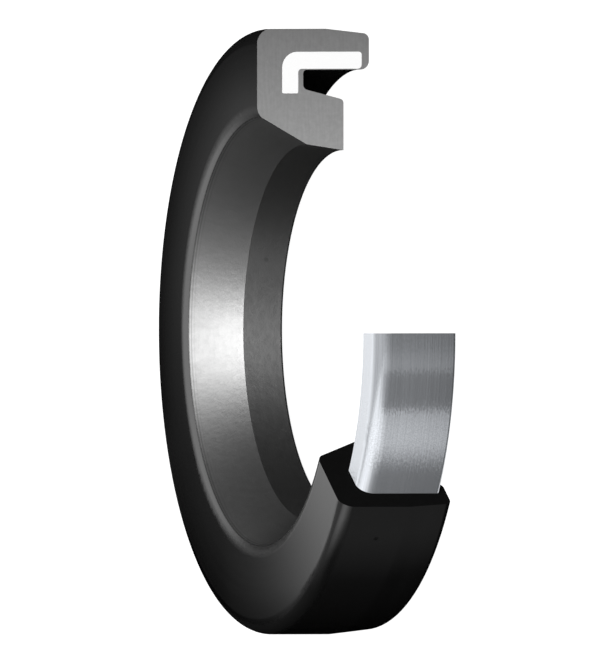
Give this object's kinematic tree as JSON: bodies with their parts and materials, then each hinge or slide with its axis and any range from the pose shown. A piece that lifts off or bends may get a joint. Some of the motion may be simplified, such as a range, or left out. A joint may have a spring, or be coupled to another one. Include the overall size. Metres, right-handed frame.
{
  "type": "oil seal",
  "caption": "Cutaway of a rubber-covered rotary shaft seal with one lip and no spring, showing its section and the bare pressed-steel case.",
  "frame": {"origin": "on the shaft's axis, in the plane of the rear rim that the seal lies on", "axes": "+Z along the shaft's axis, out of the front face; the section face looks along +X; the steel case's bare end looks along +Y"},
  "size_m": [0.0387, 0.0402, 0.0079],
  "materials": {
    "black_rubber": "moulded nitrile rubber, satin black, with a ground grey section face",
    "bright_steel": "cold-rolled sheet, drawn and polished round the ring, with a white-painted section face"
  },
  "bodies": {
    "root": {"rubber_body": "black_rubber", "metal_case": "bright_steel"}
  },
  "joints": []
}
